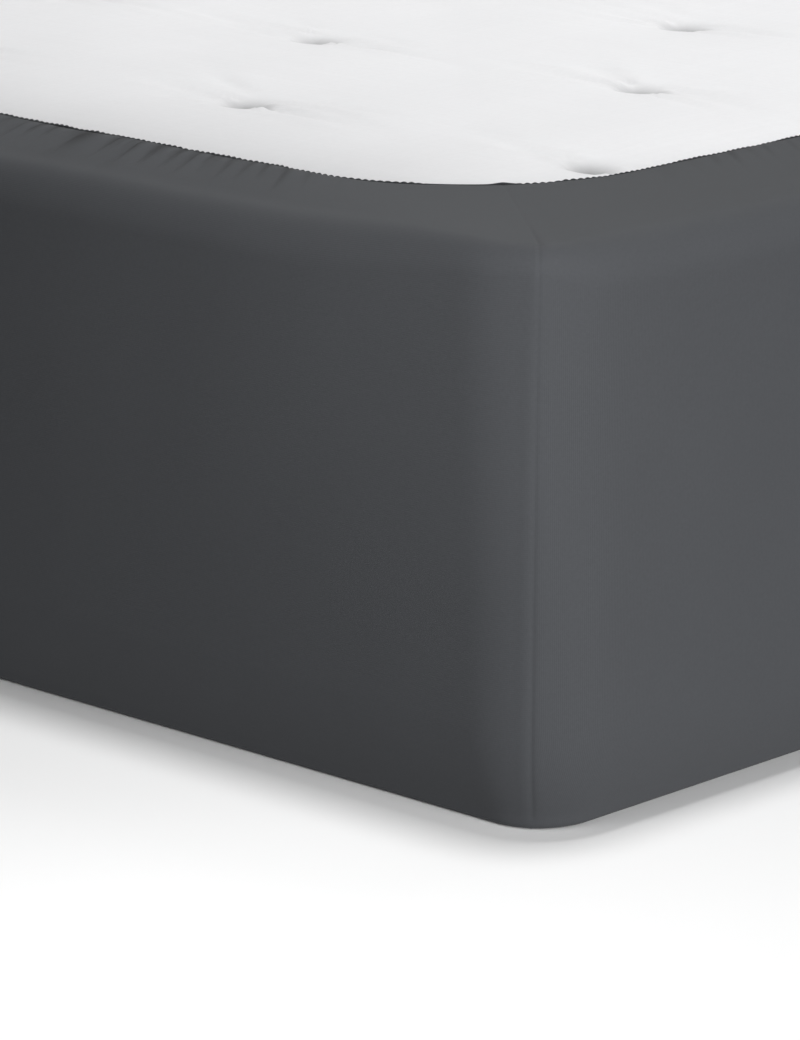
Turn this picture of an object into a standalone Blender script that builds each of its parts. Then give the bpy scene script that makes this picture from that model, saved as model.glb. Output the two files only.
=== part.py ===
"""Jersey fitted sheet on a single mattress, lying on its sleeping face with the elastic opening up.

Metres, +Z up. The origin is the centre of the sheet's sleeping face, on the floor. +X runs along
the mattress. The sheet is one cut of cloth with a sewn dart at each corner: it covers the sleeping
face, comes up the four walls, turns over the upper edge and ends in a gathered elastic edge.
"""

import math

import bmesh
import bpy

# Mattress, a plain tufted block
MATTRESS_LENGTH = 1.9
MATTRESS_WIDTH = 0.9
MATTRESS_HEIGHT = 0.25
MATTRESS_CORNER = 0.075  # radius of its four upright corners
MATTRESS_UPPER_EDGE = 0.020  # radius of the edge under the turned-over cloth
MATTRESS_LOWER_EDGE = 0.020  # radius of the edge on the floor

# Tufts, in rows that are staggered by half a step each way
TUFT_COLUMNS = 10  # half steps along the length
TUFT_ROWS = 6  # half steps across the width
TUFT_END_INSET = 0.173  # first tuft from the end wall
TUFT_SIDE_INSET = 0.135  # first tuft from the side wall
TUFT_DEPTH = 0.005
TUFT_REACH = 0.020  # from a tuft to the rim of its dimple

# Sheet
CLOTH = 0.0015  # thickness
REST_GAP = 0.0003  # between pieces that touch
WALL_GAP = 0.002  # between the walls of the mattress and the cloth
FLAP_GAP = 0.0008  # between the turned-over cloth and the mattress
UPPER_EDGE = 0.020  # outer radius where the cloth turns over
LOWER_EDGE = 0.0195  # outer radius at the floor
LOWER_REACH = 0.050  # how far the rounding of a corner reaches along each wall, at the floor
UPPER_REACH = 0.075  # the same where the cloth turns over, which the elastic draws rounder
SEAM_CREASE = math.radians(6)  # how far each wall stops short of its share of the turn, at the corner seam

# Opening of the sheet, a rounded rectangle drawn in by the elastic
END_FLAP = 0.062  # cloth turned over at the two ends
SIDE_FLAP = 0.097  # cloth turned over along the two sides
OPENING_CORNER = 0.103  # radius of the opening's corners
ELASTIC_RADIUS = 0.0016

# Gathers, which the elastic draws into the turned-over cloth away from the corners
PLAIN_REACH = 0.100  # length of the opening's edge at each corner that has no gathers
GATHER_PITCH = 0.025  # mean distance between two ridges
END_GATHER_HEIGHT = 0.0042
SIDE_GATHER_HEIGHT = 0.0020
GATHER_UNEVEN = 0.45  # share by which pitch and height vary
FLAP_ROWS = (0.30, 0.58, 0.82, 1.0)  # shares of the way from the wall to the opening

# Steps that the curves are divided into
ARC_STEPS = 4
EDGE_STEPS = 4
PLAIN_STEPS = 3

MATTRESS_BASE = CLOTH + REST_GAP
MATTRESS_TOP = MATTRESS_BASE + MATTRESS_HEIGHT
FLAP_TOP = MATTRESS_TOP + FLAP_GAP + CLOTH
HALF_LENGTH = MATTRESS_LENGTH / 2 + WALL_GAP + CLOTH
HALF_WIDTH = MATTRESS_WIDTH / 2 + WALL_GAP + CLOTH
EIGHTH_TURN = math.pi / 4  # each wall's share of the turn at an upright corner


def clear_scene():
    for obj in list(bpy.data.objects):
        bpy.data.objects.remove(obj, do_unlink=True)


def new_collection(name):
    collection = bpy.data.collections.new(name)
    bpy.context.scene.collection.children.link(collection)
    return collection


def new_material(name, colour, roughness):
    material = bpy.data.materials.new(name)
    material.use_nodes = True
    shader = material.node_tree.nodes["Principled BSDF"]
    shader.inputs["Base Color"].default_value = (*colour, 1.0)
    shader.inputs["Roughness"].default_value = roughness
    shader.inputs["Metallic"].default_value = 0.0
    return material


def object_from_bmesh(name, bm, material, collection):
    mesh = bpy.data.meshes.new(name)
    bm.to_mesh(mesh)
    bm.free()
    mesh.materials.append(material)
    mesh.shade_smooth()
    mesh.set_sharp_from_angle(angle=math.radians(40))
    obj = bpy.data.objects.new(name, mesh)
    collection.objects.link(obj)
    return obj


# Mattress


def tuft_places():
    """Every second crossing of the half steps, so that the rows are staggered."""
    step_x = (MATTRESS_LENGTH - 2 * TUFT_END_INSET) / TUFT_COLUMNS
    step_y = (MATTRESS_WIDTH - 2 * TUFT_SIDE_INSET) / TUFT_ROWS
    return [
        ((i - TUFT_COLUMNS / 2) * step_x, (j - TUFT_ROWS / 2) * step_y)
        for i in range(TUFT_COLUMNS + 1)
        for j in range(TUFT_ROWS + 1)
        if (i + j) % 2 == 0
    ]


def quarter_steps(radius):
    """Cuts of a square corner that become even steps once it is bent to a quarter round."""
    return [radius * math.tan(EIGHTH_TURN * k / 2) for k in range(2)]


def plan_cuts(half, inset, steps):
    """Cuts across the block: through the tufts, at the rims of their dimples, and for its rounded edges."""
    first = half - inset
    tufts = [-first + 2 * first * k / steps for k in range(steps + 1)]
    cuts = [tuft + rim for tuft in tufts for rim in (-TUFT_REACH, 0.0, TUFT_REACH)]
    for radius in (MATTRESS_CORNER, MATTRESS_UPPER_EDGE):
        for reach in quarter_steps(radius):
            edge = half - radius + reach
            cuts += [-edge, edge]
    return cuts


def bent(offset, upright, radius):
    """Bends the square of that radius to a quarter round: squares about its corner become circles."""
    side = max(offset, upright)
    share = side / max(math.hypot(offset, upright), 1e-9)
    return offset * share, upright * share


def round_block(x, y, z):
    """A point of the square block, moved to the block with round corners and edges."""
    core_x = MATTRESS_LENGTH / 2 - MATTRESS_CORNER
    core_y = MATTRESS_WIDTH / 2 - MATTRESS_CORNER
    past_x = max(abs(x) - core_x, 0.0)
    past_y = max(abs(y) - core_y, 0.0)
    reach = max(past_x, past_y)
    if past_x > 0 and past_y > 0:
        past_x, past_y = bent(past_x, past_y, MATTRESS_CORNER)
    edges = (
        (MATTRESS_UPPER_EDGE, z - (MATTRESS_HEIGHT - MATTRESS_UPPER_EDGE), 1),
        (MATTRESS_LOWER_EDGE, MATTRESS_LOWER_EDGE - z, -1),
    )
    for radius, upright, way in edges:
        outward = reach - (MATTRESS_CORNER - radius)
        if outward > 0 and upright > 0:
            new_outward, new_upright = bent(outward, upright, radius)
            share = (MATTRESS_CORNER - radius + new_outward) / reach
            past_x, past_y = past_x * share, past_y * share
            z += way * (new_upright - upright)
    x = math.copysign(min(abs(x), core_x) + past_x, x)
    y = math.copysign(min(abs(y), core_y) + past_y, y)
    return x, y, z


def dimple_depth(x, y):
    """How far the tufts draw the surface down: a dimple rises evenly from its tuft to its rim."""
    nearest = min(math.hypot(x - tx, y - ty) for tx, ty in tuft_places())
    return TUFT_DEPTH * max(1 - nearest / TUFT_REACH, 0.0)


def build_mattress(material, collection):
    bm = bmesh.new()
    bmesh.ops.create_cube(bm, size=1.0)
    half_length, half_width = MATTRESS_LENGTH / 2, MATTRESS_WIDTH / 2
    for v in bm.verts:
        v.co.x *= MATTRESS_LENGTH
        v.co.y *= MATTRESS_WIDTH
        v.co.z = (v.co.z + 0.5) * MATTRESS_HEIGHT
    cuts_x = plan_cuts(half_length, TUFT_END_INSET, TUFT_COLUMNS)
    cuts_y = plan_cuts(half_width, TUFT_SIDE_INSET, TUFT_ROWS)
    cuts_z = [MATTRESS_LOWER_EDGE - reach for reach in quarter_steps(MATTRESS_LOWER_EDGE)]
    cuts_z += [
        MATTRESS_HEIGHT - MATTRESS_UPPER_EDGE + reach
        for reach in quarter_steps(MATTRESS_UPPER_EDGE)
    ]
    for axis, cuts in enumerate((cuts_x, cuts_y, cuts_z)):
        normal = [float(axis == k) for k in range(3)]
        for cut in cuts:
            geometry = bm.verts[:] + bm.edges[:] + bm.faces[:]
            place = [n * cut for n in normal]
            bmesh.ops.bisect_plane(
                bm, geom=geometry, dist=1e-6, plane_co=place, plane_no=normal
            )
    inner_x, inner_y = half_length - MATTRESS_CORNER, half_width - MATTRESS_CORNER
    for v in bm.verts:
        on_top = v.co.z > MATTRESS_HEIGHT - 1e-6
        inside = abs(v.co.x) < inner_x and abs(v.co.y) < inner_y
        depth = dimple_depth(v.co.x, v.co.y) if on_top and inside else 0.0
        x, y, z = round_block(*v.co)
        v.co = (x, y, z - depth + MATTRESS_BASE)
    base = [f for f in bm.faces if all(v.co.z < MATTRESS_BASE + 1e-6 for v in f.verts)]
    bmesh.ops.dissolve_faces(bm, faces=base, use_verts=True)
    bmesh.ops.recalc_face_normals(bm, faces=bm.faces)
    return object_from_bmesh("mattress", bm, material, collection)


# Sheet


def side_halves(side):
    """Half the length of a side of the sheet, and its distance from the middle."""
    return (HALF_LENGTH, HALF_WIDTH) if side % 2 == 0 else (HALF_WIDTH, HALF_LENGTH)


def on_side(side, along, out):
    """A place on one of the four sides, counted anticlockwise from the one at -Y."""
    return [(along, -out), (out, along), (-along, out), (-out, -along)][side]


def side_curve(share, half, radius, crease):
    """(along, inward) at a share of one side's length, from corner seam to corner seam.

    A side is a straight run with an arc at each end. An arc turns by 45 degrees less the crease,
    and ends where the two sides of a corner meet.
    """
    turn = EIGHTH_TURN - crease
    reach = radius * (math.sin(turn) + 1 - math.cos(turn))
    straight = half - reach
    length = 2 * (radius * turn + straight)
    from_middle = (share - 0.5) * length
    past = abs(from_middle) - straight
    if past <= 0:
        return from_middle, 0.0
    angle = past / radius
    along = math.copysign(straight + radius * math.sin(angle), from_middle)
    return along, radius * (1 - math.cos(angle))


def wall_radius(reach):
    turn = EIGHTH_TURN - SEAM_CREASE
    return reach / (math.sin(turn) + 1 - math.cos(turn))


def wall_place(side, share, inset, reach):
    """A place on the sheet's wall, or on its offset curve that far in, for a corner's reach."""
    half, out = side_halves(side)
    along, inward = side_curve(share, half - inset, wall_radius(reach) - inset, SEAM_CREASE)
    return on_side(side, along, out - inset - inward)


def opening_place(side, share, inset=0.0):
    """A place on the edge of the opening, or on its offset curve that far in."""
    half, out = side_halves(side)
    own, other = (SIDE_FLAP, END_FLAP) if side % 2 == 0 else (END_FLAP, SIDE_FLAP)
    radius = OPENING_CORNER - inset
    along, inward = side_curve(share, half - other - inset, radius, 0.0)
    return on_side(side, along, out - own - inset - inward)


def opening_length(side):
    """Length of the opening's edge along one side, from corner seam to corner seam."""
    half, _ = side_halves(side)
    other = END_FLAP if side % 2 == 0 else SIDE_FLAP
    return 2 * (half - other - OPENING_CORNER + OPENING_CORNER * EIGHTH_TURN)


def uneven(index, side):
    """A repeatable value from -1 to 1 for one gather of a side."""
    return 0.6 * math.sin(2.3 * index + 1.9 * side) + 0.4 * math.sin(5.1 * index + 0.7 * side)


def side_columns(side):
    """(share of the side, height of the gather there, whether the wall has this column too)."""
    half, _ = side_halves(side)
    turn = EIGHTH_TURN - SEAM_CREASE
    arc = wall_radius(UPPER_REACH) * turn
    arc_share = arc / (2 * (arc + half - UPPER_REACH))
    plain = PLAIN_REACH / opening_length(side)
    shares = [arc_share * k / ARC_STEPS for k in range(ARC_STEPS)]
    shares += [arc_share + (plain - arc_share) * k / PLAIN_STEPS for k in range(PLAIN_STEPS)]
    columns = [(share, 0.0, True) for share in shares]
    pairs = round(opening_length(side) * (1 - 2 * plain) / (2 * GATHER_PITCH))
    widths = [1 + GATHER_UNEVEN * uneven(k, side) for k in range(2 * pairs)]
    place, scale = plain, (1 - 2 * plain) / sum(widths)
    tallest = SIDE_GATHER_HEIGHT if side % 2 == 0 else END_GATHER_HEIGHT
    for k, width in enumerate(widths):
        height = tallest * (1 - GATHER_UNEVEN * (1 + uneven(k + 0.5, side)) / 2)
        columns.append((place, 0.0, k % 4 == 0))
        columns.append((place + width * scale / 2, height, False))
        place += width * scale
    columns.append((1 - plain, 0.0, True))
    columns += [(1 - share, 0.0, True) for share in shares[:0:-1] if share < plain]
    return columns


def sheet_columns():
    """All columns of the sheet, (side, share, gather height, on the wall), round its four sides."""
    return [(side, *column) for side in range(4) for column in side_columns(side)]


def edge_rows(radius, turned):
    """(inset, rise) along a quarter round: turned from upright to level, or from level up."""
    rows = []
    for k in range(EDGE_STEPS + 1):
        angle = math.pi / 2 * k / EDGE_STEPS
        inset, rise = radius * (1 - math.cos(angle)), radius * math.sin(angle)
        rows.append((inset, rise) if turned else (radius - rise, radius - radius * math.cos(angle)))
    return rows


def wall_rings(bm, columns):
    """Rings of the walls and both rounded edges, from the floor to the level of the opening."""
    base = FLAP_TOP - UPPER_EDGE
    rows = [(inset, rise, LOWER_REACH) for inset, rise in edge_rows(LOWER_EDGE, False)]
    rows += [(inset, base + rise, UPPER_REACH) for inset, rise in edge_rows(UPPER_EDGE, True)]
    return [
        [bm.verts.new((*wall_place(side, share, inset, reach), z)) for side, share, _, _ in columns]
        for inset, z, reach in rows
    ]


def flap_point(side, share, height, way):
    """A point of the turned-over cloth, which the gathers lift more towards the opening."""
    start, end = wall_place(side, share, UPPER_EDGE, UPPER_REACH), opening_place(side, share)
    x, y = (a + (b - a) * way for a, b in zip(start, end))
    risen = max(way - FLAP_ROWS[0], 0.0) / (1 - FLAP_ROWS[0])
    return x, y, FLAP_TOP + height * risen * (1.4 - 0.9 * risen)


def bridge(bm, lower, upper):
    for k in range(len(lower)):
        after = (k + 1) % len(lower)
        bm.faces.new((lower[k], lower[after], upper[after], upper[k]))


def bridge_to_finer(bm, coarse, fine, picked):
    """Faces between a ring and a finer one. picked holds the fine column above each coarse one."""
    for k in range(len(coarse)):
        after = (k + 1) % len(coarse)
        last = picked[after] if after else len(fine)
        above = [fine[n % len(fine)] for n in range(picked[k], last + 1)]
        bm.faces.new([coarse[k], coarse[after], *reversed(above)])


def build_sheet(material, collection):
    """The sheet's outer surface as rings from the floor up, given its thickness inwards."""
    bm = bmesh.new()
    columns = sheet_columns()
    picked = [k for k, column in enumerate(columns) if column[3]]
    walls = wall_rings(bm, [columns[k] for k in picked])
    bm.faces.new(walls[0][::-1])
    for lower, upper in zip(walls, walls[1:]):
        bridge(bm, lower, upper)
    flaps = [
        [bm.verts.new(flap_point(side, share, height, way)) for side, share, height, _ in columns]
        for way in FLAP_ROWS
    ]
    bridge_to_finer(bm, walls[-1], flaps[0], picked)
    for lower, upper in zip(flaps, flaps[1:]):
        bridge(bm, lower, upper)
    bmesh.ops.recalc_face_normals(bm, faces=bm.faces)
    sheet = object_from_bmesh("sheet", bm, material, collection)
    thickness = sheet.modifiers.new("thickness", "SOLIDIFY")
    thickness.thickness = CLOTH
    thickness.offset = -1.0
    thickness.use_even_offset = True
    return sheet


def build_elastic(material, collection):
    """The elastic edge, a thin bead that follows the edge of the opening and its gathers."""
    curve = bpy.data.curves.new("elastic_edge", "CURVE")
    curve.dimensions = "3D"
    curve.twist_mode = "Z_UP"
    curve.bevel_depth = ELASTIC_RADIUS
    curve.bevel_resolution = 0
    columns = sheet_columns()
    spline = curve.splines.new("POLY")
    spline.points.add(len(columns) - 1)
    for point, (side, share, height, _) in zip(spline.points, columns):
        x, y = opening_place(side, share, ELASTIC_RADIUS + REST_GAP)
        lift = flap_point(side, share, height, 1.0)[2] - FLAP_TOP
        point.co = (x, y, MATTRESS_TOP + REST_GAP + ELASTIC_RADIUS + lift, 1.0)
    spline.use_cyclic_u = True
    curve.materials.append(material)
    obj = bpy.data.objects.new("elastic_edge", curve)
    collection.objects.link(obj)
    return obj


def main():
    clear_scene()
    collection = new_collection("fitted_sheet_on_mattress")
    jersey = new_material("jersey", (0.095, 0.100, 0.108), 0.85)
    elastic = new_material("elastic", (0.060, 0.063, 0.068), 0.90)
    ticking = new_material("ticking", (0.82, 0.82, 0.83), 0.90)
    build_mattress(ticking, collection)
    build_sheet(jersey, collection)
    build_elastic(elastic, collection)


main()
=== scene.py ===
"""Dresses a jersey fitted sheet that is stretched round a tufted mattress.

The mattress lies on its sleeping face, so the sheet's open side is on top. Metres, +Z up, with the
origin at the centre of the sleeping face and +X along the mattress. The sheet's four sides are
counted anticlockwise from the one at -Y, and a share runs along each from 0 to 1.
"""

import math

import bpy
import numpy as np
from bpy.props import FloatProperty, FloatVectorProperty, IntProperty, PointerProperty
from mathutils import Matrix, Vector


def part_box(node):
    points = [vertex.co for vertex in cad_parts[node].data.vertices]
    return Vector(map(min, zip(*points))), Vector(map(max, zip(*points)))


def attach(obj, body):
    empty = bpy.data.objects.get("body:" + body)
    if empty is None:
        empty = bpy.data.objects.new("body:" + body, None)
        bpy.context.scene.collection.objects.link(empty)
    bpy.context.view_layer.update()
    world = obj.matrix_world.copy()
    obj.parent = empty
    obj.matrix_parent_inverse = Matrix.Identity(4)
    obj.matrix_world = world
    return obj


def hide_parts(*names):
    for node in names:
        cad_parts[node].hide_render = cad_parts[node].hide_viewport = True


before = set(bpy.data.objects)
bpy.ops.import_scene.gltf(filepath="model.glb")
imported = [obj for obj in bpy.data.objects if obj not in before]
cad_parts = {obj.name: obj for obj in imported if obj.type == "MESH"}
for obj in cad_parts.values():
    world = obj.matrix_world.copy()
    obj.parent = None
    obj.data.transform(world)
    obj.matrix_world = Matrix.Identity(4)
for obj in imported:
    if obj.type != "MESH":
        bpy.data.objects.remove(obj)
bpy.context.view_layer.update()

bl_info = {
    "name": "Fitted Sheet On Mattress",
    "version": (1, 0, 0),
    "blender": (4, 5, 0),
    "location": "3D View > Sidebar > Fitted Sheet",
    "description": "Builds a gathered jersey fitted sheet, its elastic edge and a tufted mattress",
    "category": "Add Mesh",
}

BODY = "root"

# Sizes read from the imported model
SHEET_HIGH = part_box("sheet")[1]
MATTRESS_LOW, MATTRESS_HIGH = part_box("mattress")
ELASTIC_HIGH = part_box("elastic_edge")[1]
HALF_LENGTH, HALF_WIDTH = SHEET_HIGH.x, SHEET_HIGH.y
MATTRESS_TOP = MATTRESS_HIGH.z
END_FLAP = HALF_LENGTH - ELASTIC_HIGH.x
SIDE_FLAP = HALF_WIDTH - ELASTIC_HIGH.y

EIGHTH_TURN = math.pi / 4  # each wall's share of the turn at an upright corner
SIDES = 4

# Sizes that aren't settings, in metres

# From a corner seam along the hem, to the first gathers and to those of full height
GATHERS_START, GATHERS_FULL = 0.055, 0.140
GATHERS_HELD = 0.0105  # how far from the hem the elastic holds the gathers down
HELD_AT_HEM = 0.05  # share of a gather's height that is left at the hem
SIDE_DROOP = 0.15  # the long sides' droop at the upper edge, as a share of the ends'
HEM_TUCK = 0.0004  # how far the hem's last ring is drawn in
HEM_GAP = 0.0002  # between the hem and the elastic edge
COVER_GAP = 0.0003  # between the mattress's top and the elastic edge
SAFE_GAP = 0.0004  # least height of the cloth's underside over the lowest level of the droop
HEM_BAND = 0.004  # how far to each side of the hem the cover stays level
THREAD_PITCH = 0.0011  # of the mattress cover's weave
FLOOR_DROP = 0.0002  # how far the floor lies under the sleeping face
AROUND = 6.0  # length on which the sheet's waves are laid out round the mattress
# Soft waves of the sheet: height, pitch and seed
SHEET_WAVES = ((0.00045, 0.11, 5), (0.00010, 0.035, 6))
# Loose waves of the cover: height, how much they are drawn out across it, pitch and seed
COVER_WAVES = ((0.00055, 1.0, 0.060, 71), (0.00022, 0.22, 0.016, 72))
# The folds on each side of a tuft: how far each runs, and how far along the mattress it starts
TUFT_FOLDS = ((0.085, 0.0), (0.060, 0.011), (0.045, -0.011), (0.036, 0.020))


# Settings


class SheetSettings(bpy.types.PropertyGroup):
    """Sizes and colour of the jersey sheet"""

    cloth: FloatProperty(
        name="Cloth", description="Thickness of the jersey", default=0.0013, unit="LENGTH"
    )
    flap_gap: FloatProperty(
        name="Flap Gap",
        description="From the mattress to the underside of the turned-over cloth",
        default=0.0010,
        unit="LENGTH",
    )
    upper_edge: FloatProperty(
        name="Upper Edge",
        description="Radius of the bend where the cloth turns over",
        default=0.020,
        unit="LENGTH",
    )
    lower_edge: FloatProperty(
        name="Lower Edge", description="Radius of the bend at the floor", default=0.0050, unit="LENGTH"
    )
    foot_depth: FloatProperty(
        name="Foot Depth",
        description="How far the walls draw in on their way to the floor, under the mattress's edge",
        default=0.0135,
        unit="LENGTH",
    )
    foot_height: FloatProperty(
        name="Foot Height",
        description="Height over the bend at the floor at which the walls start to draw in",
        default=0.045,
        unit="LENGTH",
    )
    corner_edge: FloatProperty(
        name="Corner Edge",
        description="Radius of the upper bend at a corner seam, where the cloth is pulled tight",
        default=0.012,
        unit="LENGTH",
    )
    upper_reach: FloatProperty(
        name="Upper Corner Reach",
        description="How far a corner's rounding reaches along each wall, where the cloth turns over",
        default=0.052,
        unit="LENGTH",
    )
    lower_reach: FloatProperty(
        name="Lower Corner Reach",
        description="How far a corner's rounding reaches along each wall, at the floor",
        default=0.042,
        unit="LENGTH",
    )
    upper_crease: FloatProperty(
        name="Upper Crease",
        description="How far each wall stops short of its share of a corner's turn, at the top",
        default=math.radians(12),
        unit="ROTATION",
    )
    lower_crease: FloatProperty(
        name="Lower Crease",
        description="How far each wall stops short of its share of a corner's turn, at the floor",
        default=math.radians(3),
        unit="ROTATION",
    )
    upper_lean: FloatProperty(
        name="Upper Lean",
        description="How much less of a corner's turn lies on the end wall, at the top",
        default=math.radians(4),
        unit="ROTATION",
    )
    lower_lean: FloatProperty(
        name="Lower Lean",
        description="How much less of a corner's turn lies on the end wall, at the floor",
        default=math.radians(8),
        unit="ROTATION",
    )
    edge_drop: FloatProperty(
        name="Edge Drop",
        description="How much lower the turned-over cloth lies at the ends' upper edge than at the hem",
        default=0.0055,
        unit="LENGTH",
    )
    opening_corner: FloatProperty(
        name="Opening Corner", description="Radius of the opening's corners", default=0.103, unit="LENGTH"
    )
    seam_shift: FloatProperty(
        name="Seam Shift",
        description="How far round the hem a corner seam ends, from the corner's middle to the long side",
        default=0.012,
        unit="LENGTH",
    )
    gather_pitch: FloatProperty(
        name="Gather Pitch", description="Mean width of a large gather", default=0.0135, unit="LENGTH"
    )
    gather_height: FloatProperty(
        name="Gather Height", description="Height of the largest gathers", default=0.0027, unit="LENGTH"
    )
    side_gathers: FloatProperty(
        name="Side Gathers",
        description="Height of the long sides' gathers, as a share of the ends'",
        default=0.30,
        subtype="FACTOR",
    )
    seam_depth: FloatProperty(
        name="Seam Depth",
        description="Depth of the groove along a corner seam",
        default=0.0005,
        unit="LENGTH",
    )
    colour: FloatVectorProperty(
        name="Jersey",
        description="Colour of the knitted cloth",
        default=(0.0560, 0.0587, 0.0637),
        subtype="COLOR",
    )
    wale: FloatProperty(
        name="Wale", description="Width of one column of knit loops", default=0.0009, unit="LENGTH"
    )


class ElasticSettings(bpy.types.PropertyGroup):
    """Sizes and colour of the overlocked elastic edge"""

    radius: FloatProperty(
        name="Radius", description="Radius of the edge where it is smooth", default=0.00095, unit="LENGTH"
    )
    stitch_pitch: FloatProperty(
        name="Stitch Pitch", description="Distance between two scallops", default=0.0034, unit="LENGTH"
    )
    scallop: FloatProperty(
        name="Scallop",
        description="How much thicker the edge is on a scallop than between two",
        default=0.00105,
        unit="LENGTH",
    )
    colour: FloatVectorProperty(
        name="Elastic",
        description="Colour of the overlock thread",
        default=(0.036, 0.038, 0.041),
        subtype="COLOR",
    )


class MattressSettings(bpy.types.PropertyGroup):
    """Sizes and colour of the tufted mattress"""

    corner: FloatProperty(
        name="Corner", description="Radius of the upright corners", default=0.105, unit="LENGTH"
    )
    edge: FloatProperty(name="Edge", description="Radius of the upper edges", default=0.030, unit="LENGTH")
    foot: FloatProperty(name="Foot", description="Radius of the lower edges", default=0.036, unit="LENGTH")
    columns: IntProperty(name="Tuft Columns", description="Half steps of tufts along the length", default=10)
    rows: IntProperty(name="Tuft Rows", description="Half steps of tufts across the width", default=6)
    end_inset: FloatProperty(
        name="End Inset", description="From an end wall to the first tuft", default=0.163, unit="LENGTH"
    )
    side_inset: FloatProperty(
        name="Side Inset", description="From a side wall to the first tuft", default=0.125, unit="LENGTH"
    )
    tuft_depth: FloatProperty(
        name="Tuft Depth",
        description="Depth that a tuft pulls the cover down",
        default=0.0100,
        unit="LENGTH",
    )
    tuft_reach: FloatProperty(
        name="Tuft Reach",
        description="From a tuft's slit to the rim of its dimple",
        default=0.0195,
        unit="LENGTH",
    )
    slit: FloatProperty(
        name="Slit", description="Length of the slit at the bottom of a dimple", default=0.004, unit="LENGTH"
    )
    trough: FloatProperty(
        name="Trough",
        description="Depth of the wide soft trough across the mattress at a tuft",
        default=0.0011,
        unit="LENGTH",
    )
    crown: FloatProperty(
        name="Crown", description="Rise of the cover inside the hem", default=0.0036, unit="LENGTH"
    )
    crown_reach: FloatProperty(
        name="Crown Reach",
        description="From the hem to where most of the crown is reached",
        default=0.032,
        unit="LENGTH",
    )
    hollow: FloatProperty(
        name="Hollow",
        description="How far the cover sinks again towards the middle of the mattress",
        default=0.0045,
        unit="LENGTH",
    )
    colour: FloatVectorProperty(
        name="Cover", description="Colour of the woven cover", default=(0.80, 0.80, 0.81), subtype="COLOR"
    )


class StageSettings(bpy.types.PropertyGroup):
    """Camera, lights and floor"""

    heading: FloatProperty(
        name="Heading",
        description="Direction that the camera looks in, anticlockwise from +X",
        default=math.radians(43.69),
        unit="ROTATION",
    )
    pitch: FloatProperty(
        name="Pitch",
        description="How far the camera looks down",
        default=math.radians(14.84),
        unit="ROTATION",
    )
    distance: FloatProperty(
        name="Distance", description="From the camera to the point it looks at", default=2.25, unit="LENGTH"
    )
    aim: FloatVectorProperty(
        name="Aim",
        description="Point the camera looks at, from the corner's foot",
        default=(-0.013, 0.072, 0.134),
        unit="LENGTH",
    )
    lens: FloatProperty(
        name="Lens", description="Focal length on a sensor 36 mm high, in millimetres", default=186.0
    )
    floor_size: FloatProperty(
        name="Floor Size", description="Side of the floor", default=90.0, unit="LENGTH"
    )
    floor_colour: FloatVectorProperty(
        name="Floor Colour",
        description="Colour of the floor",
        default=(0.84, 0.84, 0.84),
        subtype="COLOR",
    )
    bounce: FloatProperty(
        name="Bounce",
        description="Strength of the even light from below, in place of the floor's",
        default=0.60,
    )
    side_spread: FloatProperty(
        name="Side Spread",
        description="Angle that each light from the sides fills",
        default=math.radians(24),
        unit="ROTATION",
    )
    overhead_spread: FloatProperty(
        name="Overhead Spread",
        description="Angle that the light from overhead fills, which sets how soft the shadow's edge is",
        default=math.radians(11),
        unit="ROTATION",
    )
    overhead: FloatProperty(
        name="Overhead", description="Strength of the light from overhead", default=1.62
    )
    front: FloatProperty(
        name="Front", description="Strength of the light from the -Y side", default=1.64
    )
    low_front: FloatProperty(
        name="Low Front",
        description="Strength of the nearly level light from the -Y side",
        default=0.64,
    )
    back: FloatProperty(
        name="Back", description="Strength of the light from +X and +Y", default=0.72
    )
    near_front: FloatProperty(
        name="Near Front", description="Power of the light in front of the corner, in watts", default=9.6
    )
    near_end: FloatProperty(
        name="Near End", description="Power of the light by the end wall, in watts", default=0.47
    )
    above: FloatProperty(
        name="Above", description="Power of the light over the mattress, in watts", default=2.0
    )


# Shapes shared by the sheet and its elastic edge


def smoothstep(low, high, value):
    """0 on low's side, 1 on high's side, and an even S-shaped rise between them."""
    t = np.clip((value - low) / (high - low), 0.0, 1.0)
    return t * t * (3 - 2 * t)


def ring_noise(place, pitch, length, seed):
    """Smooth random values from -1 to 1 round a closed line of that length.

    One random value stands at each step of about one pitch, and an S-shaped curve joins them.
    """
    steps = max(int(round(length / pitch)), 2)
    table = np.random.default_rng(seed).uniform(-1, 1, steps)
    at = place / length * steps
    cell = np.floor(at).astype(int)
    t = smoothstep(0.0, 1.0, at - cell)
    return table[cell % steps] * (1 - t) + table[(cell + 1) % steps] * t


def table_noise(table, u, v):
    """Values between the numbers of a table that repeats: u counts its columns, and v its rows.

    An S-shaped curve joins two columns, and another the two rows.
    """
    rows, columns = table.shape
    cell_u, cell_v = np.floor(u).astype(int), np.floor(v).astype(int)
    tu, tv = smoothstep(0, 1, u - cell_u), smoothstep(0, 1, v - cell_v)
    left, right = cell_u % columns, (cell_u + 1) % columns
    low = table[cell_v % rows, left] * (1 - tu) + table[cell_v % rows, right] * tu
    high = table[(cell_v + 1) % rows, left] * (1 - tu) + table[(cell_v + 1) % rows, right] * tu
    return low * (1 - tv) + high * tv


def sheet_noise(along, across, pitch, length, seed):
    """Smooth random values from -1 to 1 over a band that closes on itself along its length."""
    steps = max(int(round(length / pitch)), 2)
    table = np.random.default_rng(seed).uniform(-1, 1, (64, steps))
    return table_noise(table, along / length * steps, across / pitch)


def even_noise(x, y, pitch, seed):
    """Smooth random values from -1 to 1 over the plane."""
    table = np.random.default_rng(seed).uniform(-1, 1, (256, 256)).T
    return table_noise(table, x / pitch + 100, y / pitch + 100)


def on_side(side, along, out):
    """Places on the four sides: each side is the first one turned by as many right angles."""
    x = np.choose(side, [along, out, -along, -out])
    y = np.choose(side, [-out, along, out, -along])
    return x, y


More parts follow.
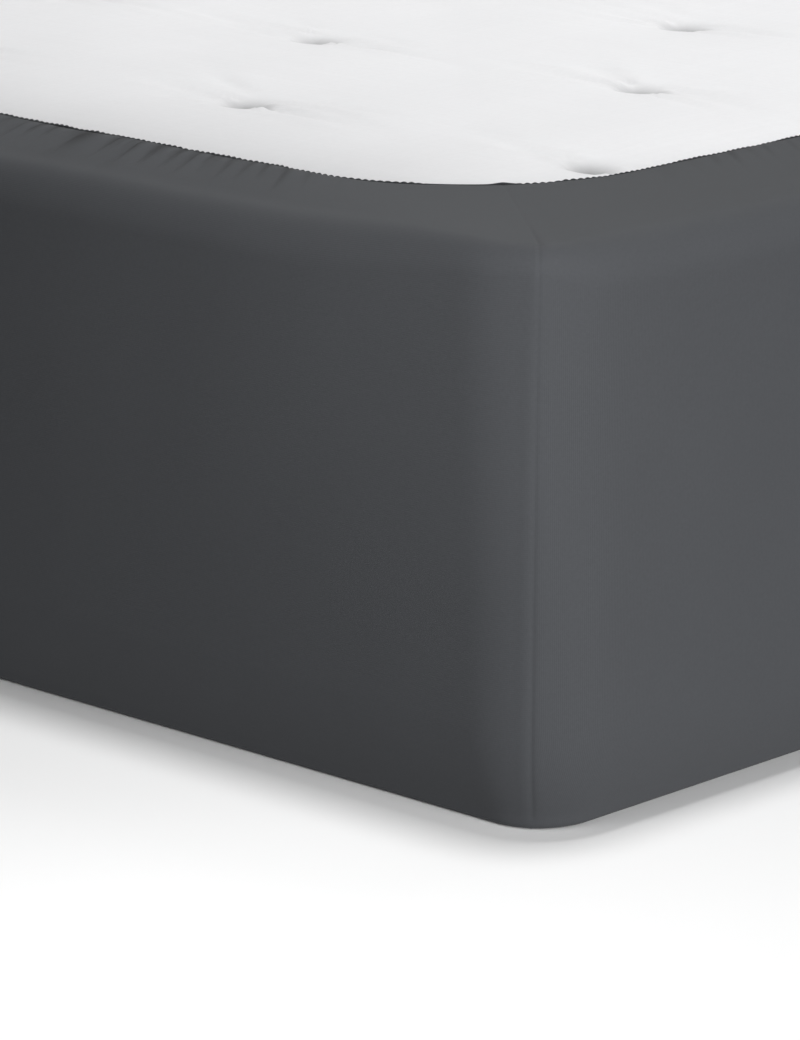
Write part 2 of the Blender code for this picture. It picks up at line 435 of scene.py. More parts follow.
def side_sizes(side):
    """Half the length of each column's side, its distance from the middle, and both flaps there."""
    long_side = side % 2 == 0
    half = np.where(long_side, HALF_LENGTH, HALF_WIDTH)
    out = np.where(long_side, HALF_WIDTH, HALF_LENGTH)
    own = np.where(long_side, SIDE_FLAP, END_FLAP)
    other = np.where(long_side, END_FLAP, SIDE_FLAP)
    return half, out, own, other


def side_curve(share, half, radius, turn, other_turn):
    """(along, inward, flat) at shares of a side: a straight run with an arc at each end.

    The side's own arc turns by one angle and the next side's by another, and both end at the corner
    seam. Where the two make less than a right angle, the seam is a crease. flat is the signed length
    of the curve from the side's middle.
    """
    straight = half - radius * (np.sin(turn) + 1 - np.cos(other_turn))
    flat = (share - 0.5) * 2 * (radius * turn + straight)
    past = np.maximum(np.abs(flat) - straight, 0.0)
    angle = past / radius
    along = np.sign(flat) * (np.minimum(np.abs(flat), straight) + radius * np.sin(angle))
    return along, radius * (1 - np.cos(angle)), flat


def seam_turns(side, crease, lean):
    """(own, other) turns of the arcs that meet at a corner seam.

    Each is an eighth of a turn less the crease. The lean is taken from the end walls' arcs and added
    to the long sides'.
    """
    way = np.where(side % 2 == 1, -1.0, 1.0)
    middle = EIGHTH_TURN - crease
    return middle + way * lean, middle - way * lean


def opening_curve(side, share, inset, sheet):
    """(x, y, flat) on the opening's edge, a rounded rectangle, or on its offset curve that far in."""
    half, out, own, other = side_sizes(side)
    radius = sheet.opening_corner - inset
    turns = seam_turns(side, 0.0, -sheet.seam_shift / sheet.opening_corner)
    along, inward, flat = side_curve(share, half - other - inset, radius, *turns)
    x, y = on_side(side, along, out - own - inset - inward)
    return x, y, flat


def opening_half(side, sheet):
    """Half the length of the opening's edge along a side, from corner seam to corner seam."""
    half, _, _, other = side_sizes(side)
    corner = sheet.opening_corner
    own_turn, other_turn = seam_turns(side, 0.0, -sheet.seam_shift / corner)
    return half - other - corner * (np.sin(own_turn) + 1 - np.cos(other_turn)) + corner * own_turn


def opening_halves(sheet):
    """Half the length of the opening's edge along each of the four sides."""
    return np.array([float(opening_half(np.array(side), sheet)) for side in range(SIDES)])


def hem_lift(side, share, from_hem, sheet):
    """(lift, shade) of the gathers, at a share of a side and a distance from the hem.

    A gather rises steeply from a sharp valley and falls slowly to the next: the sine of pi times its
    place to a power of about a half. Its height and how far out it fades are random for each, its width is
    uneven, and small gathers ride on large ones. The elastic holds them down at the hem itself, and
    there are none near the corner seams. The shade is 1 in the valley and on the steep side of the
    largest gathers, where light hardly gets in, and narrows away from the hem.
    """
    halves = opening_halves(sheet)
    whole = 2 * halves.sum()
    before = np.choose(side, list(2 * (np.cumsum(halves) - halves)))
    half = np.choose(side, list(halves))
    place = before + share * 2 * half
    from_seam = np.minimum(share, 1 - share) * 2 * half
    height = np.where(side % 2 == 1, 1.0, sheet.side_gathers)
    height = height * smoothstep(GATHERS_START, GATHERS_FULL, from_seam)
    lift = np.zeros(np.broadcast(place, from_hem).shape)
    shade = np.zeros(lift.shape)
    # pitch, share of the height, the least and the most that a gather runs in from the hem, and seed
    layers = (
        (sheet.gather_pitch, 1.00, 0.010, 0.032, 11),
        (sheet.gather_pitch * 0.46, 0.45, 0.005, 0.013, 23),
    )
    for pitch, share_of_height, least_fade, most_fade, seed in layers:
        steps = int(round(whole / pitch))
        at = place / whole * steps + 0.75 * ring_noise(place, pitch * 2.6, whole, seed)
        cell = np.floor(at).astype(int) % steps
        random = np.random.default_rng(seed + 1)
        size = share_of_height * random.uniform(0.10, 1.0, steps)[cell]
        fade = random.uniform(least_fade, most_fade, steps)[cell]
        across = at - np.floor(at)
        ridge = np.sin(np.pi * across**0.54) ** 0.9
        lift = lift + size * ridge * np.exp(-((from_hem / fade) ** 1.5))
        from_valley = np.minimum(np.abs(across - 0.06), np.abs(across - 1.06))
        valley_width = 0.04 + 0.27 * np.exp(-from_hem / fade)
        valley = np.exp(-((from_valley / valley_width) ** 2))
        shade = shade + size * valley * np.exp(-((from_hem / (0.75 * fade)) ** 2))
    held = HELD_AT_HEM + (1 - HELD_AT_HEM) * smoothstep(0.0, GATHERS_HELD, from_hem)
    return sheet.gather_height * height * lift * held, np.minimum(height * shade, 1.0)


def edge_droop(side, share, sheet):
    """How much lower the cloth lies at the upper edge than at the hem.

    It is most along the ends, a share of that along the long sides, and none at a corner.
    """
    from_seam = np.minimum(share, 1 - share) * 2 * opening_half(side, sheet)
    droop = np.where(side % 2 == 1, 1.0, SIDE_DROOP) * sheet.edge_drop
    return droop * smoothstep(0.015, 0.100, from_seam)


# Meshes


def new_object(name, points, faces, material, uv=None, shade=None):
    """A smooth mesh object at the origin, from its points and faces.

    uv is a pair for each face corner, and shade a number for each point.
    """
    mesh = bpy.data.meshes.new(name)
    mesh.from_pydata(points.tolist(), [], faces)
    if uv is not None:
        layer = mesh.uv_layers.new(name="flat_cloth")
        layer.data.foreach_set("uv", np.ascontiguousarray(uv, np.float32).ravel())
    if shade is not None:
        layer = mesh.attributes.new("shade", "FLOAT", "POINT")
        layer.data.foreach_set("value", np.ascontiguousarray(shade, np.float32))
    mesh.materials.append(material)
    mesh.shade_smooth()
    mesh.update()
    obj = bpy.data.objects.new(name, mesh)
    bpy.context.scene.collection.objects.link(obj)
    return obj


def ring_quads(first, second):
    """Quads between two closed rings of as many points."""
    return np.stack([first, np.roll(first, -1), np.roll(second, -1), second], 1)


def grid_quads(index):
    """The quads of a grid of point numbers, as one row of four for each."""
    return np.stack([index[:-1, :-1], index[1:, :-1], index[1:, 1:], index[:-1, 1:]], 2)


def level_normals(ring):
    """Level normals that point out of a closed ring which runs anticlockwise."""
    along = np.roll(ring, -1, 0) - np.roll(ring, 1, 0)
    out = np.stack([along[:, 1], -along[:, 0], np.zeros(len(ring))], 1)
    return out / np.linalg.norm(out, axis=1, keepdims=True)


def ring_fans(coarse, fine, picked):
    """Triangles between a closed ring and a finer one. picked holds the fine point of each coarse one."""
    count = len(fine)
    step = np.arange(count)
    owner = np.searchsorted(picked, step, side="right") - 1
    fan = np.stack([coarse[owner], fine[(step + 1) % count], fine], 1)
    after = np.roll(picked, -1)
    closing = np.stack([coarse, np.roll(coarse, -1), fine[after]], 1)
    return np.concatenate([fan, closing])


# Sheet


def column_places(half):
    """Shares of one side, closest together at the corner seams and sparser in the ungathered reach."""
    at_seam, widening, gathered = 0.006, 0.070, 0.085
    seam_step, plain_step, gather_step = 0.0005, 0.0030, 0.00128
    near = np.concatenate([np.arange(0, at_seam, seam_step), np.geomspace(at_seam, widening, 22)])
    near = np.concatenate([near, np.arange(widening + plain_step, gathered, plain_step)])
    middle_count = int((2 * half - 2 * gathered) / gather_step)
    middle = np.linspace(gathered, 2 * half - gathered, middle_count)
    places = np.concatenate([near, middle, (2 * half - near[::-1])[:-1]])
    return places / (2 * half)


def sheet_columns(sheet):
    """(side, share, kept) for all columns: kept marks those that the walls have too."""
    sides, shares, kept = [], [], []
    for side, half in enumerate(opening_halves(sheet)):
        share = column_places(half)
        from_seam = np.minimum(share, 1 - share) * 2 * half
        order = np.arange(len(share))
        keep = (from_seam < 0.072) | (order % 6 == 0)
        keep &= (from_seam < 0.030) | (order % 2 == 0)
        sides.append(np.full(len(share), side))
        shares.append(share)
        kept.append(keep)
    return np.concatenate(sides), np.concatenate(shares), np.concatenate(kept)


def wall_share(side, share):
    """The share of the wall that a column meets.

    Columns of the two ends lean towards the corners on their way out, so their gathers fan out.
    """
    t = 2 * np.minimum(share, 1 - share)
    leaning = np.where(side % 2 == 1, 0.45, 0.0)
    fanned = t + leaning * t * (1 - t) ** 2
    return np.where(share < 0.5, fanned / 2, 1 - fanned / 2)


def wall_ring(side, share, inset, rise, sheet):
    """(x, y, flat, to_seam) on the sheet's wall, or on its offset curve that far in.

    The rise is 0 at the floor and 1 at the top. A corner is round at the floor, and its seam is a
    crease at the top.
    """
    reach = sheet.lower_reach + (sheet.upper_reach - sheet.lower_reach) * rise
    crease = sheet.lower_crease + (sheet.upper_crease - sheet.lower_crease) * rise
    lean = sheet.lower_lean + (sheet.upper_lean - sheet.lower_lean) * rise
    middle = EIGHTH_TURN - crease
    radius = np.maximum(reach / (math.sin(middle) + 1 - math.cos(middle)) - inset, 0.004)
    turns = seam_turns(side, crease, lean)
    half, out, _, _ = side_sizes(side)
    along, inward, flat = side_curve(share, half - inset, radius, *turns)
    x, y = on_side(side, along, out - inset - inward)
    edge = side_curve(np.ones_like(share), half - inset, radius, *turns)[2]
    return x, y, flat, edge - np.abs(flat)


def sheet_rows():
    """Rows of the sheet from the middle of the sleeping face up to the hem, as (part, value)."""
    rows = [("base", inset) for inset in (0.30, 0.12, 0.040)]
    rows += [("lower", angle) for angle in np.linspace(0, math.pi / 2, 6)]
    rows += [("wall", share) for share in (0.02, 0.04, 0.065, 0.09, 0.12, 0.15, 0.19)]
    rows += [("wall", share) for share in np.linspace(0.24, 1, 13)[:-1]]
    rows += [("upper", angle) for angle in np.linspace(0, math.pi / 2, 10)]
    rows += [("flap", share) for share in (0.16, 0.32, 0.45, 0.57, 0.68, 0.78, 0.86, 0.925, 0.97, 1.0)]
    return rows


def bend_radius(side, share, sheet):
    """Radius of the bend where the cloth turns over, which tightens towards the corner seams."""
    from_seam = wall_ring(side, share, 0.0, 1.0, sheet)[3]
    fade = np.where(side % 2 == 1, 0.070, 0.022)
    tight = np.exp(-((from_seam / fade) ** 2))
    return sheet.upper_edge + (sheet.corner_edge - sheet.upper_edge) * tight


def sheet_grid(sheet, side, share):
    """Every column on every row: places, flat cloth coordinates, distance to the seam, and to the hem."""
    flap_top = MATTRESS_TOP + sheet.flap_gap + sheet.cloth
    droop = edge_droop(side, share, sheet)
    met = wall_share(side, share)
    _, out, own, _ = side_sizes(side)
    lower, upper = sheet.lower_edge, bend_radius(side, met, sheet)
    wall_top = flap_top - upper
    bend = math.pi / 2
    wall_run = lower * (bend - 1) + wall_top - lower
    points, flat_cloth, to_seam, to_hem = [], [], [], []
    hem_x, hem_y, hem_flat = opening_curve(side, share, 0.0, sheet)
    for part, value in sheet_rows():
        inset, rise, from_edge = 0.0, 1.0, own - upper
        if part == "base":
            inset, rise, z, run = sheet.foot_depth + lower + value, 0.0, 0.0, -lower - value
        elif part == "lower":
            inset, rise = sheet.foot_depth + lower * (1 - math.sin(value)), 0.0
            z, run = lower * (1 - math.cos(value)), lower * (value - 1)
        elif part == "wall":
            z = lower + (wall_top - droop - lower) * value
            rise, run = value, lower * (bend - 1) + z - lower
            inset = sheet.foot_depth * np.clip(1 - (z - lower) / sheet.foot_height, 0, 1) ** 2
        elif part == "upper":
            inset, z = upper * (1 - math.cos(value)), wall_top - droop + upper * math.sin(value)
            run = wall_run + upper * value
            from_edge = from_edge + upper * (bend - value)
        else:
            inset, z = upper, flap_top - droop * (1 - value) ** 1.6
            run = wall_run + upper * bend + (own - upper) * value
            from_edge = from_edge * (1 - value)
        x, y, flat, seam = wall_ring(side, met, inset, rise, sheet)
        if part == "flap":
            x, y = x + (hem_x - x) * value, y + (hem_y - y) * value
            edge = opening_half(side, sheet)
            seam = seam + (edge - np.abs(hem_flat) - seam) * value
            flat = flat + (hem_flat - flat) * value
        elif part != "upper":
            from_edge = from_edge + upper * bend + np.maximum(wall_top - z, 0)
        u, v = (x, y) if part == "base" else on_side(side, flat, out + run)
        points.append(np.stack([x, y, np.broadcast_to(z, x.shape)], 1))
        flat_cloth.append(np.stack([u, v], 1))
        to_seam.append(seam)
        to_hem.append(np.broadcast_to(from_edge, x.shape))
    return np.array(points), np.array(flat_cloth), np.array(to_seam), np.array(to_hem)


def grid_normals(points):
    """Outward normals of a grid of rings: the ring's direction crossed with the way up."""
    across = np.roll(points, -1, 1) - np.roll(points, 1, 1)
    up = np.gradient(points, axis=0)
    normal = np.cross(across, up)
    return normal / np.maximum(np.linalg.norm(normal, axis=2, keepdims=True), 1e-12)


def seam_relief(to_seam, height, depth):
    """A corner seam: a narrow groove with a low soft ridge beside it, puckered along its height."""
    pucker = 1 + 0.35 * np.sin(height * 2 * np.pi / 0.011 + 1.3 * np.sin(height * 61))
    groove = -depth * np.exp(-((to_seam / 0.0011) ** 2))
    ridge = 0.30 * depth * pucker * np.exp(-(((to_seam - 0.0042) / 0.0024) ** 2))
    return groove + ridge


def build_sheet(sheet, material):
    """The jersey sheet as one closed shell.

    The outer face is a grid of rings with gathers, seam grooves and soft waves pushed along its
    normals. The inner face is a sparser copy, moved in by the cloth's thickness.
    """
    side, share, kept = sheet_columns(sheet)
    points, flat_cloth, to_seam, to_hem = sheet_grid(sheet, side, share)
    _, closing_cloth, _, _ = sheet_grid(sheet, (side - 1) % SIDES, np.ones_like(share))
    parts = np.array([part for part, _ in sheet_rows()])
    normals = grid_normals(points)
    around = (side + share) * AROUND / SIDES
    height = points[:, :, 2]
    lift, shade = hem_lift(side[None, :], share[None, :], to_hem, sheet)
    waves = 0
    for size, pitch, seed in SHEET_WAVES:
        waves = waves + sheet_noise(around[None, :], to_hem, pitch, AROUND, seed) * size
    free = smoothstep(0.0, 0.030, height) * smoothstep(0.004, 0.030, to_seam)
    faint = 1 - 0.86 * smoothstep(0.10, 0.05, to_hem)
    relief = seam_relief(to_seam, height + to_hem, sheet.seam_depth) * smoothstep(0.0, 0.012, height)
    push = lift + waves * free + relief * faint
    push[-1] -= HEM_TUCK
    outer = points + normals * push[:, :, None]
    on_floor, over = parts == "base", parts == "flap"
    outer[on_floor, :, 2] = 0.0
    outer[:, :, 2] = np.maximum(outer[:, :, 2], 0.0)
    inner = outer - normals * sheet.cloth
    inner[on_floor, :, 2] = sheet.cloth
    inner[over, :, 2] = np.maximum(inner[over, :, 2], MATTRESS_TOP - sheet.edge_drop + SAFE_GAP)
    fine_from = int(np.argmax(over)) + 1
    return sheet_mesh((outer, inner), (flat_cloth, closing_cloth), shade, side, kept, fine_from, material)


def sheet_mesh(faces_of_cloth, maps_of_cloth, shade, side, kept, fine_from, material):
    """Joins the rings of both faces, and closes them at the hem and in the middle of the sleeping face.

    From row fine_from to the hem a ring has every column, and below it only the kept ones.
    """
    outer, inner = faces_of_cloth
    row_count, column_count = outer.shape[:2]
    every, picked = np.arange(column_count), np.flatnonzero(kept)
    rows = np.arange(row_count)
    inner_rows = np.concatenate([rows[:fine_from:2], rows[fine_from:-1:2], rows[-1:]])
    points, places, total = [], [], 0

    def add_rings(face, chosen):
        """Takes the chosen rows of a face as rings of points, and gives each one's numbers."""
        nonlocal total
        rings = []
        for row in chosen:
            columns = every if row >= fine_from else picked
            points.append(face[row, columns])
            places.append(row * column_count + columns)
            rings.append((np.arange(total, total + len(columns)), row >= fine_from))
            total += len(columns)
        return rings

    def join(rings):
        """The faces between each ring and the next."""
        faces = []
        for (low, low_fine), (high, high_fine) in zip(rings, rings[1:]):
            joined = ring_quads(low, high) if low_fine == high_fine else ring_fans(low, high, picked)
            faces += joined.tolist()
        return faces

    outside, inside = add_rings(outer, rows), add_rings(inner, inner_rows)
    faces = join(outside) + [face[::-1] for face in join(inside)]
    faces += ring_quads(outside[-1][0], inside[-1][0]).tolist()
    faces.append(outside[0][0][::-1].tolist())
    faces.append(inside[0][0].tolist())
    place = np.concatenate(places)
    maps = [cloth.reshape(-1, 2)[place] for cloth in maps_of_cloth]
    uv = corner_map(faces, maps, side, place % column_count)
    return new_object("jersey_sheet", np.concatenate(points), faces, material, uv, shade.ravel()[place])


def corner_map(faces, maps, side, column):
    """The flat cloth coordinate of each face corner.

    A face that ends at the next side's first column reads that column's place from the second map,
    which goes on from its own side, so that each side of the cut stays in one piece.
    """
    first = np.diff(side, prepend=side[-1]) != 0
    loops = np.concatenate([np.asarray(face) for face in faces])
    sizes = np.array([len(face) for face in faces])
    starts = np.cumsum(sizes) - sizes
    owner = side[column[loops]]
    crosses = np.minimum.reduceat(owner, starts) != np.maximum.reduceat(owner, starts)
    closing = np.repeat(crosses, sizes) & first[column[loops]]
    return np.where(closing[:, None], maps[1][loops], maps[0][loops])


# Elastic edge


def build_elastic(sheet, elastic, material):
    """The overlocked elastic edge, a tube that follows the hem.

    Its radius swells once for each stitch, and its line rises and falls with the gathers. It is
    smooth for a short reach on the end's side of each corner seam, and thick at the seam itself.
    """
    halves = opening_halves(sheet)
    whole = 2 * halves.sum()
    edges = np.concatenate([[0], np.cumsum(2 * halves)])
    sections = int(round(whole / elastic.stitch_pitch)) * 6
    place = np.arange(sections) / sections * whole
    side = np.clip(np.searchsorted(edges, place, side="right") - 1, 0, SIDES - 1)
    share = (place - edges[side]) / (2 * halves[side])
    from_seam = np.minimum(share, 1 - share) * 2 * halves[side]
    end_side = side % 2 == 1
    scalloped = np.where(
        end_side, smoothstep(0.030, 0.040, from_seam), smoothstep(0.004, 0.010, from_seam)
    )
    scallop = np.where(end_side, 1.0, 0.70) * scalloped
    phase = place / elastic.stitch_pitch + 0.35 * ring_noise(place, 0.02, whole, 41)
    beat = np.abs(np.sin(np.pi * phase))
    size = 0.70 + 0.30 * ring_noise(place, 0.006, whole, 42)
    radius = elastic.radius + elastic.scallop * scallop * size * (beat - 0.45)
    radius = radius + 0.0007 * np.exp(-((from_seam / 0.004) ** 2))
    wobble = 0.00025 * ring_noise(place, 0.010, whole, 43) * scalloped
    x, y, _ = opening_curve(side, share, elastic.radius + HEM_GAP, sheet)
    lift, _ = hem_lift(side, share, np.zeros(sections), sheet)
    z = MATTRESS_TOP + COVER_GAP + elastic.radius + lift + wobble
    centre = np.stack([x, y, z], 1)
    out = level_normals(centre)
    sides = 8
    turn = np.arange(sides) / sides * 2 * np.pi + np.pi / sides
    ring = centre[:, None, :] + radius[:, None, None] * (
        np.cos(turn)[:, None] * out[:, None, :] + np.sin(turn)[:, None] * np.array([0.0, 0.0, 1.0])
    )
    index = np.arange(sections * sides).reshape(sections, sides)
    after = np.roll(index, -1, 0)
    quads = np.stack([index, after, np.roll(after, -1, 1), np.roll(index, -1, 1)], 2).reshape(-1, 4)
    u = np.repeat(phase * elastic.stitch_pitch, sides).reshape(sections, sides)
    v = np.tile(turn * elastic.radius, (sections, 1))
    uv = np.stack([u, v], 2).reshape(-1, 2)[quads.ravel()]
    return new_object("elastic_hem", ring.reshape(-1, 3), quads.tolist(), material, uv)


# Mattress


def tuft_places(mattress):
    """Every second crossing of the half steps, so that the rows are staggered."""
    step_x = (2 * MATTRESS_HIGH.x - 2 * mattress.end_inset) / mattress.columns
    step_y = (2 * MATTRESS_HIGH.y - 2 * mattress.side_inset) / mattress.rows
    i, j = np.meshgrid(np.arange(mattress.columns + 1), np.arange(mattress.rows + 1), indexing="ij")
    keep = (i + j) % 2 == 0
    x = (i - mattress.columns / 2) * step_x
    y = (j - mattress.rows / 2) * step_y
    return np.stack([x[keep], y[keep]], 1)


def crease(x, y, start, angle, length, width, depth):
    """A fold that runs out from a point: a soft trough beside one low shoulder, fading along it."""
    dx, dy = x - start[0], y - start[1]
    run = dx * math.cos(angle) + dy * math.sin(angle)
    off = -dx * math.sin(angle) + dy * math.cos(angle) + 0.10 * run * np.abs(run) / length
    wide = width * (0.55 + 0.75 * np.clip(run / length, 0, 1))
    along = smoothstep(-0.006, 0.006, run) * np.exp(-((np.maximum(run, 0) / length) ** 2))
    trough = -np.exp(-((off / wide) ** 2))
    shoulder = 0.45 * np.exp(-(((np.abs(off) - 1.8 * wide) / wide) ** 2))
    return depth * along * (trough + shoulder)


def dimple(dx, dy, mattress):
    """A tuft's dimple: puffy walls, so the depth follows a quarter circle from its slit to its rim.

    A soft trough crosses it, along the slit and far out on both sides, and a broad shallow hollow
    lies round it.
    """
    slit = np.maximum(np.abs(dy) - mattress.slit / 2, 0.0)
    reach = mattress.tuft_reach
    near = np.clip(1 - np.hypot(dx, slit) / reach, 0.0, 1.0)
    walls = 1 - np.sqrt(np.maximum(1 - near**2, 0.0))
    hollow = 0.20 * np.exp(-((np.hypot(dx, dy * 0.7) / (2.2 * reach)) ** 2))
    wide = 0.0060 + 0.10 * np.abs(dy)
    trough = np.exp(-((dx / wide) ** 2)) * np.exp(-((dy / (2.2 * reach)) ** 2))
    return -mattress.tuft_depth * (walls + hollow) - mattress.trough * trough


def cover_sag(x, y, sheet):
    """How far the cover lies below its top under the turned-over cloth, to follow it down to the edge."""
    sag = np.zeros_like(x)
    depths = (
        (HALF_LENGTH - np.abs(x), END_FLAP, sheet.edge_drop),
        (HALF_WIDTH - np.abs(y), SIDE_FLAP, SIDE_DROOP * sheet.edge_drop),
    )
    for from_wall, flap, drop in depths:
        inner = flap - HEM_BAND
        under = np.clip((inner - from_wall) / (inner - sheet.upper_edge), 0.0, 1.3)
        sag = np.maximum(sag, (drop + 0.0012) * under**1.5)
    return sag


def cover_height(x, y, sheet, mattress):
    """(height, shade) of the cover over its flat top: crown, dimples, folds and loose waves.

    The crown rises from the hem as 1 less an exponential, steepest at the hem. The folds run across
    the mattress, out of the tufts. The shade is near 1 deep in a dimple, where light hardly gets in,
    and rises towards the ends' hem.
    """
    corner = sheet.opening_corner
    past_x = np.abs(x) - (HALF_LENGTH - END_FLAP - corner)
    past_y = np.abs(y) - (HALF_WIDTH - SIDE_FLAP - corner)
    from_hem = corner - np.hypot(np.maximum(past_x, 0), np.maximum(past_y, 0))
    from_hem = from_hem - np.minimum(np.maximum(past_x, past_y), 0) - HEM_BAND
    inside = 1 - np.exp(-np.maximum(from_hem, 0) / mattress.crown_reach)
    hollow = mattress.hollow * smoothstep(0.05, 0.42, from_hem)
    height = mattress.crown * inside - hollow - cover_sag(x, y, sheet)
    for size, stretch, pitch, seed in COVER_WAVES:
        height = height + size * even_noise(x, y * stretch, pitch, seed) * inside
    from_end = np.maximum(HALF_LENGTH - END_FLAP - np.abs(x), 0)
    shade = 0.45 * np.exp(-from_end / 0.055)
    random = np.random.default_rng(73)
    for place in tuft_places(mattress):
        near = np.hypot(x - place[0], y - place[1]) < 0.25
        dx, dy = x[near], y[near]
        relief = dimple(dx - place[0], dy - place[1], mattress)
        shade[near] += smoothstep(0.12, 0.95, -relief / mattress.tuft_depth)
        for way in (1, -1):
            for k, (reach, offset) in enumerate(TUFT_FOLDS):
                step = offset * random.uniform(0.7, 1.3)
                start = (place[0] + step, place[1] + way * (0.45 + 0.2 * k) * mattress.tuft_reach)
                angle = way * math.pi / 2 + random.uniform(-0.10, 0.10) * (1 + k)
                length = reach * random.uniform(0.45, 1.25)
                width = random.uniform(0.0034, 0.0056)
                depth = random.uniform(0.0008, 0.0023)
                relief += crease(dx, dy, start, angle, length, width, depth)
        height[near] += relief
    return height, shade


def plan_lines(half, edge, first, steps, spacing, least):
    """(lines, marks) across the cover: lines evenly spaced between the rows of tufts.

    marks are the numbers of the rows' own lines. Next to the walls the spacing is about the same, and
    no interval has fewer lines than least.
    """
    tufts = np.linspace(-first, first, steps + 1)
    outer = half - edge
    ends = max(int(round((outer - first) / spacing)), least)
    inner = max(int(round((tufts[1] - tufts[0]) / spacing)), least)
    parts = [np.linspace(-outer, -first, ends + 1)[:-1]]
    parts += [np.linspace(low, high, inner + 1)[:-1] for low, high in zip(tufts, tufts[1:])]
    parts += [np.linspace(first, outer, ends + 1)]
    return np.concatenate(parts), ends + inner * np.arange(steps + 1)


def tuft_patches(marks_x, marks_y, shape, reach_x, reach_y):
    """(stays, index, holes, borders): a grid of points makes way for rings round each tuft.

    A patch reaches as many lines to each side of its tuft as reach_x and reach_y say.
    stays marks the points that stay and index numbers them. holes marks the quads that go, and
    borders lists the ring of points round each hole.
    """
    i, j = np.meshgrid(np.arange(len(marks_x)), np.arange(len(marks_y)), indexing="ij")
    keep = (i + j) % 2 == 0
    at_x, at_y = marks_x[i[keep]][:, None], marks_y[j[keep]][:, None]
    steps_x, steps_y = np.arange(-reach_x, reach_x), np.arange(-reach_y, reach_y)
    holes = np.zeros((shape[0] - 1, shape[1] - 1), bool)
    holes[(at_x + steps_x)[:, :, None], (at_y + steps_y)[:, None, :]] = True
    stays = np.ones(shape, bool)
    stays[(at_x + steps_x[1:])[:, :, None], (at_y + steps_y[1:])[:, None, :]] = False
    index = np.cumsum(stays).reshape(shape) - 1
    low, high = np.full(2 * reach_y, -reach_x), np.full(2 * reach_y, reach_x)
    along_x = np.concatenate([steps_x, high, -steps_x, low])
    low, high = np.full(2 * reach_x, -reach_y), np.full(2 * reach_x, reach_y)
    along_y = np.concatenate([low, steps_y, high, -steps_y])
    return stays, index, holes, index[at_x + along_x, at_y + along_y]


def build_mattress(sheet, mattress, material):
    """The tufted mattress, a closed round block whose top carries the cover's relief.

    The top is a grid, fine across the folds. Round each tuft it makes way for rings that shrink from
    a square of the grid to the tuft. The grid goes on over the round edge and down the walls as
    rings of its border, and a last ring closes the base.
    """
    half_x, half_y = MATTRESS_HIGH.x, MATTRESS_HIGH.y
    corner, edge = mattress.corner, mattress.edge
    line_x, line_y = 0.0036, 0.0075
    patch_x, patch_y = 6, 3
    first_x, first_y = half_x - mattress.end_inset, half_y - mattress.side_inset
    xs, marks_x = plan_lines(half_x, edge, first_x, mattress.columns, line_x, 2 * patch_x)
    ys, marks_y = plan_lines(half_y, edge, first_y, mattress.rows, line_y, 2 * patch_y + 2)
    x, y = np.meshgrid(xs, ys, indexing="ij")
    px, py = round_corner(x, y, half_x - edge, half_y - edge, corner - edge)
    stays, index, holes, borders = tuft_patches(marks_x, marks_y, px.shape, patch_x, patch_y)
    plan = np.stack([px[stays], py[stays]], 1)
    centre = (plan[borders].max(1) + plan[borders].min(1)) / 2
    scales = np.concatenate([np.linspace(1, 0.60, 5)[1:], np.linspace(0.60, 0.03, 17)[1:]])
    shrunk = centre[:, None, None] + (plan[borders] - centre[:, None])[:, None] * scales[:, None, None]
    tufts, rings_each, around = shrunk.shape[:3]
    inner = len(plan) + np.arange(tufts * rings_each * around).reshape(tufts, rings_each, around)
    middle = len(plan) + inner.size + np.arange(tufts)
    plan = np.concatenate([plan, shrunk.reshape(-1, 2), centre])
    height, shade = cover_height(plan[:, 0], plan[:, 1], sheet, mattress)
    quads = grid_quads(index)[~holes]
    rings = np.concatenate([borders[:, None], inner], 1)
    after = np.roll(rings, -1, 2)
    patch = np.stack([rings[:, :-1], after[:, :-1], after[:, 1:], rings[:, 1:]], 3).reshape(-1, 4)
    fan = np.stack([rings[:, -1], after[:, -1], np.broadcast_to(middle[:, None], (tufts, around))], 2)
    faces = quads.tolist() + patch.tolist() + fan.reshape(-1, 3).tolist()
    border = np.concatenate([index[:-1, 0], index[-1, :-1], index[:0:-1, -1], index[0, :0:-1]])
    top = np.column_stack([plan, MATTRESS_TOP + height])
    return close_block(top, shade, faces, border, sheet, mattress, material)


def close_block(top, shade, faces, border, sheet, mattress, material):
    """Carries the top's border over the round edge and down the walls, and closes the base."""
    ring = top[border]
    out = level_normals(ring)
    rings, last, total = [top], border, len(top)
    floor = MATTRESS_LOW.z
    edge, foot = mattress.edge, mattress.foot
    upper = MATTRESS_TOP - sheet.edge_drop - edge
    angles = np.linspace(0, math.pi / 2, 6)
    levels = [(edge * math.sin(a), upper + edge * math.cos(a)) for a in angles[1:]]
    levels += [(edge - foot * (1 - math.cos(a)), floor + foot * (1 - math.sin(a))) for a in angles]
    for outward, level in levels:
        placed = ring + out * outward
        placed[:, 2] = level
        here = np.arange(total, total + len(ring))
        faces += ring_quads(here, last).tolist()
        rings.append(placed)
        total += len(ring)
        last = here
    faces.append(last[::-1].tolist())
    points = np.concatenate(rings)
    shade = np.pad(shade, (0, len(points) - len(shade)))
    return new_object("tufted_mattress", points, faces, material, shade=shade)


def round_corner(x, y, half_x, half_y, radius):
    """Bends the corner squares of a rectangular grid so that its outline gets round corners."""
    past_x = np.maximum(np.abs(x) - (half_x - radius), 0)
    past_y = np.maximum(np.abs(y) - (half_y - radius), 0)
    side = np.maximum(past_x, past_y)
    share = np.where(side > 0, side / np.maximum(np.hypot(past_x, past_y), 1e-9), 1.0)
    share = np.where((past_x > 0) & (past_y > 0), share, 1.0)
    px = np.sign(x) * (np.minimum(np.abs(x), half_x - radius) + past_x * share)
    py = np.sign(y) * (np.minimum(np.abs(y), half_y - radius) + past_y * share)
    return px, py


# Materials


